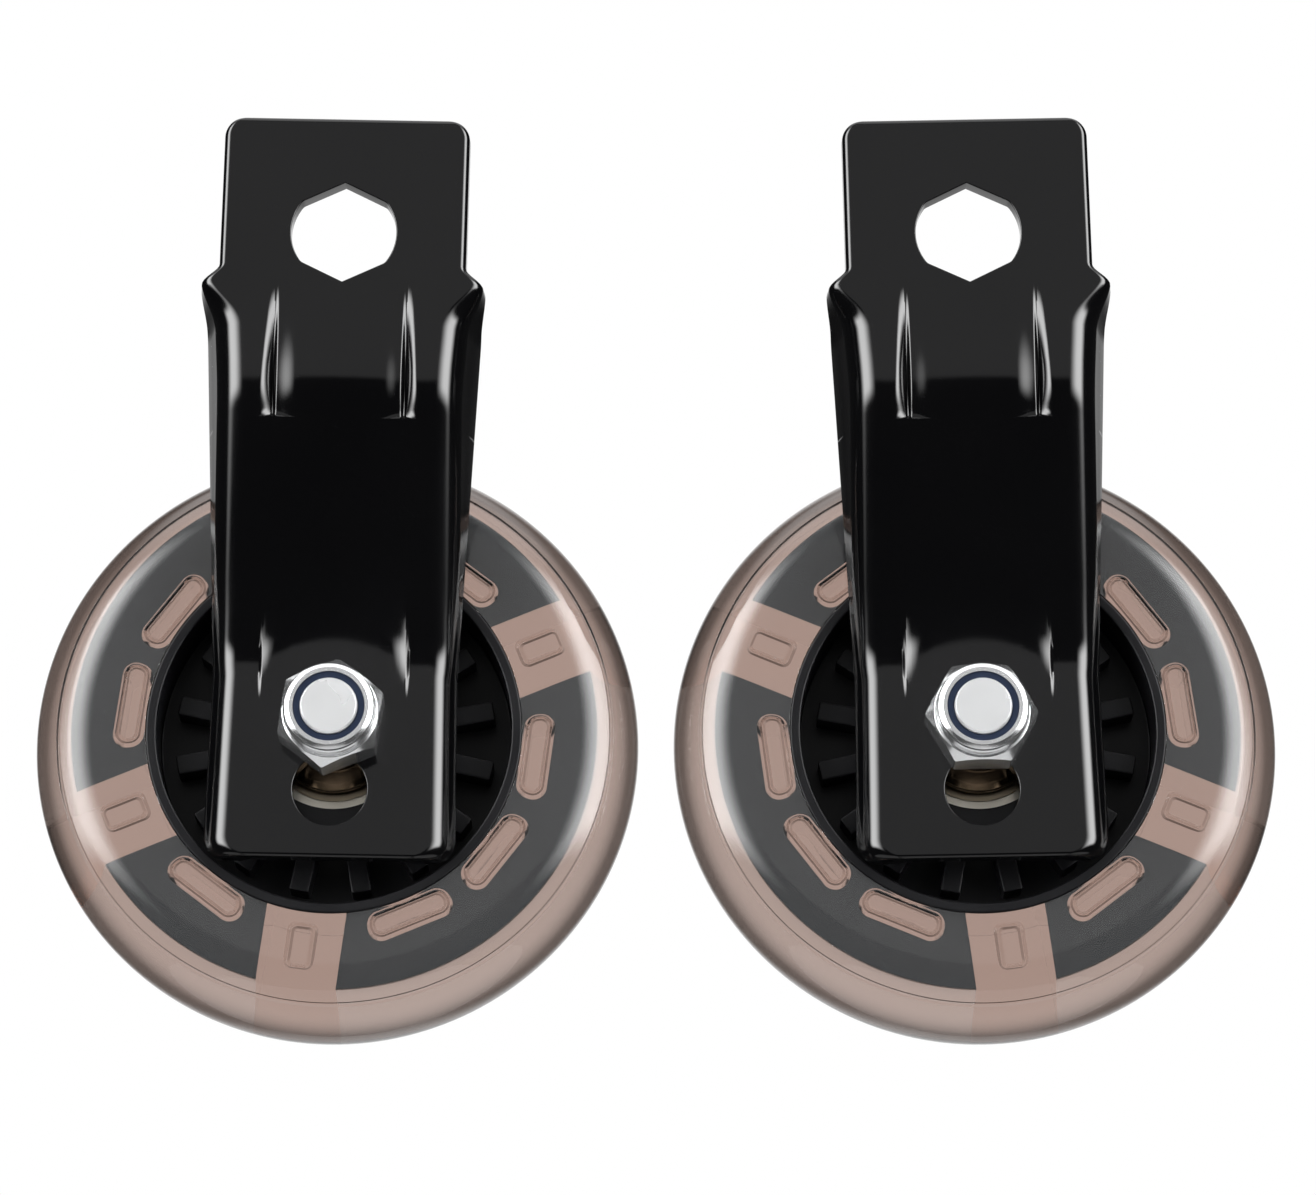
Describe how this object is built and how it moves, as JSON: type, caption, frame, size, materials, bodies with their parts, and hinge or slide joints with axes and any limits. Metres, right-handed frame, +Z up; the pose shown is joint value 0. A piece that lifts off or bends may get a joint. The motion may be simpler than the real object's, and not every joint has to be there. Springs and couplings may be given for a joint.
{
  "type": "scooter training wheels",
  "caption": "Bolt-on scooter training wheels: pressed Z-shaped steel brackets with hexagonal mounting holes carry clear-tyred wheels on ball bearings.",
  "frame": {"origin": "middle of the pair, level with the lowest points of the two wheels and half way between the top pads' front faces and the bolt heads", "axes": "+X from the left unit to the right unit, +Y from the pads' scooter side towards the bolt heads, along both axles, +Z up"},
  "size_m": [0.2058, 0.0504, 0.1495],
  "materials": {
    "black_coat": "gloss black coat on pressed steel",
    "zinc": "bright zinc plate",
    "navy_nylon": "satin nylon",
    "bronze_zinc": "turned steel with a warm zinc tint",
    "bearing_steel": "ground bearing steel",
    "ball_steel": "polished",
    "cage_steel": "pressed steel",
    "shield_steel": "pressed steel with a bronze tint",
    "black_core": "satin moulded nylon",
    "smoke_tyre": "clear smoke-brown cast polyurethane"
  },
  "bodies": {
    "brackets": {"left_bracket": "black_coat", "left_axle_bolt": "zinc", "left_lock_nut": "zinc", "left_nut_insert": "navy_nylon", "left_stepped_spacer": "bronze_zinc", "left_head_washer": "zinc", "left_bearing_spacer": "zinc", "left_front_inner_ring": "bearing_steel", "left_rear_inner_ring": "bearing_steel", "right_bracket": "black_coat", "right_axle_bolt": "zinc", "right_lock_nut": "zinc", "right_nut_insert": "navy_nylon", "right_stepped_spacer": "bronze_zinc", "right_head_washer": "zinc", "right_bearing_spacer": "zinc", "right_front_inner_ring": "bearing_steel", "right_rear_inner_ring": "bearing_steel"},
    "left_wheel": {"left_wheel_core": "black_core", "left_tyre": "smoke_tyre", "left_front_outer_ring": "bearing_steel", "left_rear_outer_ring": "bearing_steel", "left_front_shields": "shield_steel", "left_rear_shields": "shield_steel"},
    "left_balls": {"left_front_balls": "ball_steel", "left_front_cage": "cage_steel", "left_rear_balls": "ball_steel", "left_rear_cage": "cage_steel"},
    "right_wheel": {"right_wheel_core": "black_core", "right_tyre": "smoke_tyre", "right_front_outer_ring": "bearing_steel", "right_rear_outer_ring": "bearing_steel", "right_front_shields": "shield_steel", "right_rear_shields": "shield_steel"},
    "right_balls": {"right_front_balls": "ball_steel", "right_front_cage": "cage_steel", "right_rear_balls": "ball_steel", "right_rear_cage": "cage_steel"}
  },
  "joints": [
    {"name": "left_wheel_spin", "type": "hinge", "parent": "brackets", "child": "left_wheel", "pos_m": [-0.0529, 0.0078, 0.05], "axis": [0, 1, 0], "continuous": true},
    {"name": "left_ball_run", "type": "hinge", "parent": "brackets", "child": "left_balls", "pos_m": [-0.0529, 0.0078, 0.05], "axis": [0, 1, 0], "continuous": true},
    {"name": "right_wheel_spin", "type": "hinge", "parent": "brackets", "child": "right_wheel", "pos_m": [0.0529, 0.0078, 0.05], "axis": [0, 1, 0], "continuous": true},
    {"name": "right_ball_run", "type": "hinge", "parent": "brackets", "child": "right_balls", "pos_m": [0.0529, 0.0078, 0.05], "axis": [0, 1, 0], "continuous": true}
  ],
  "couplings": [
    {"joint": "left_ball_run", "follows": "left_wheel_spin", "ratio": 0.63222},
    {"joint": "right_ball_run", "follows": "right_wheel_spin", "ratio": 0.63222}
  ]
}
